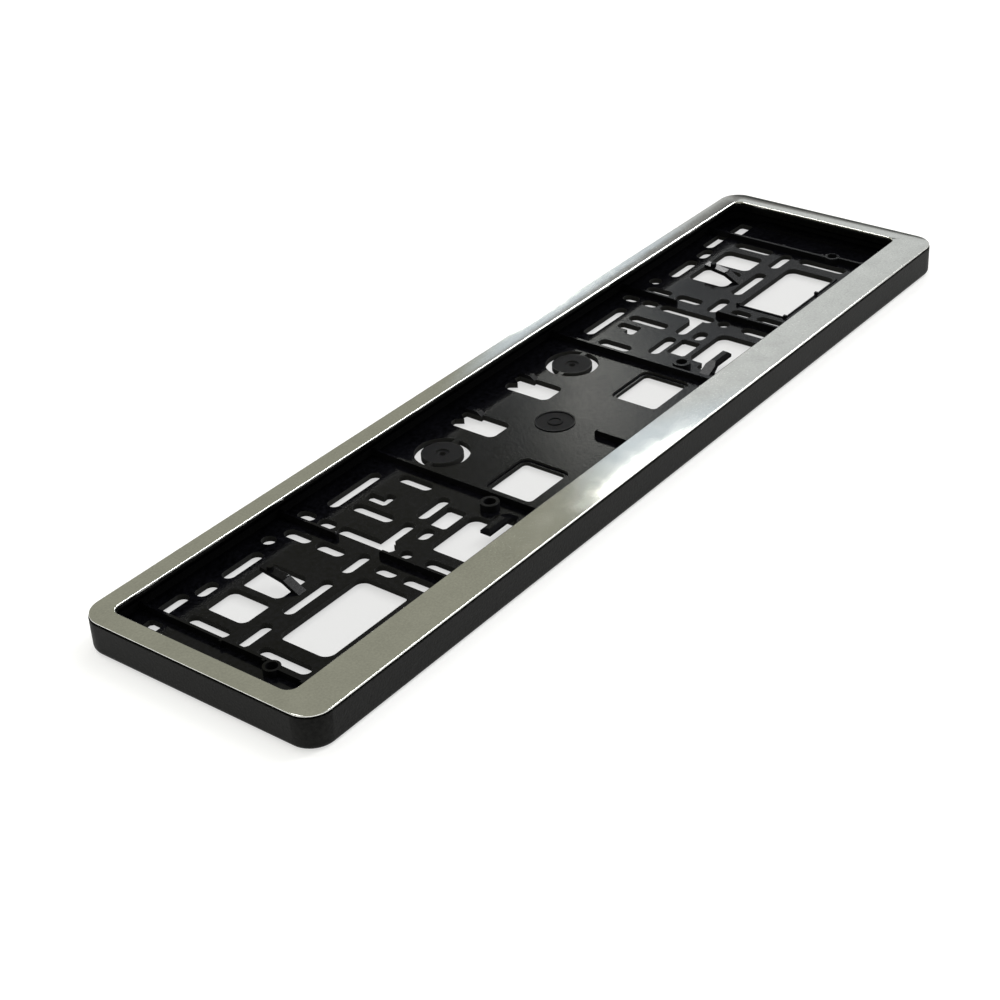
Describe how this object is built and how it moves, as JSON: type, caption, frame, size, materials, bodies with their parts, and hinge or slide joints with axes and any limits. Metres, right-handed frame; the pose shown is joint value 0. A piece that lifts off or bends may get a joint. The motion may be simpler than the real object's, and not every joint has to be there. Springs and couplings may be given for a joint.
{
  "type": "number plate holder",
  "caption": "Number plate holder: slotted black base plate in a deep black surround frame with a bright metal face, wider along the bottom lip.",
  "frame": {"origin": "middle of the back, on the plane the holder stands on", "axes": "+X along the plate, +Y to the plate's top edge, +Z out of the face; the holder lies on its back"},
  "size_m": [0.5358, 0.1378, 0.018],
  "materials": {
    "base_plastic": "semi-gloss black moulding",
    "surround_plastic": "fine matte black moulding",
    "bright_steel": "satin polished stainless sheet"
  },
  "bodies": {
    "root": {"base_plate": "base_plastic", "surround_frame": "surround_plastic", "bright_trim": "bright_steel"}
  },
  "joints": []
}
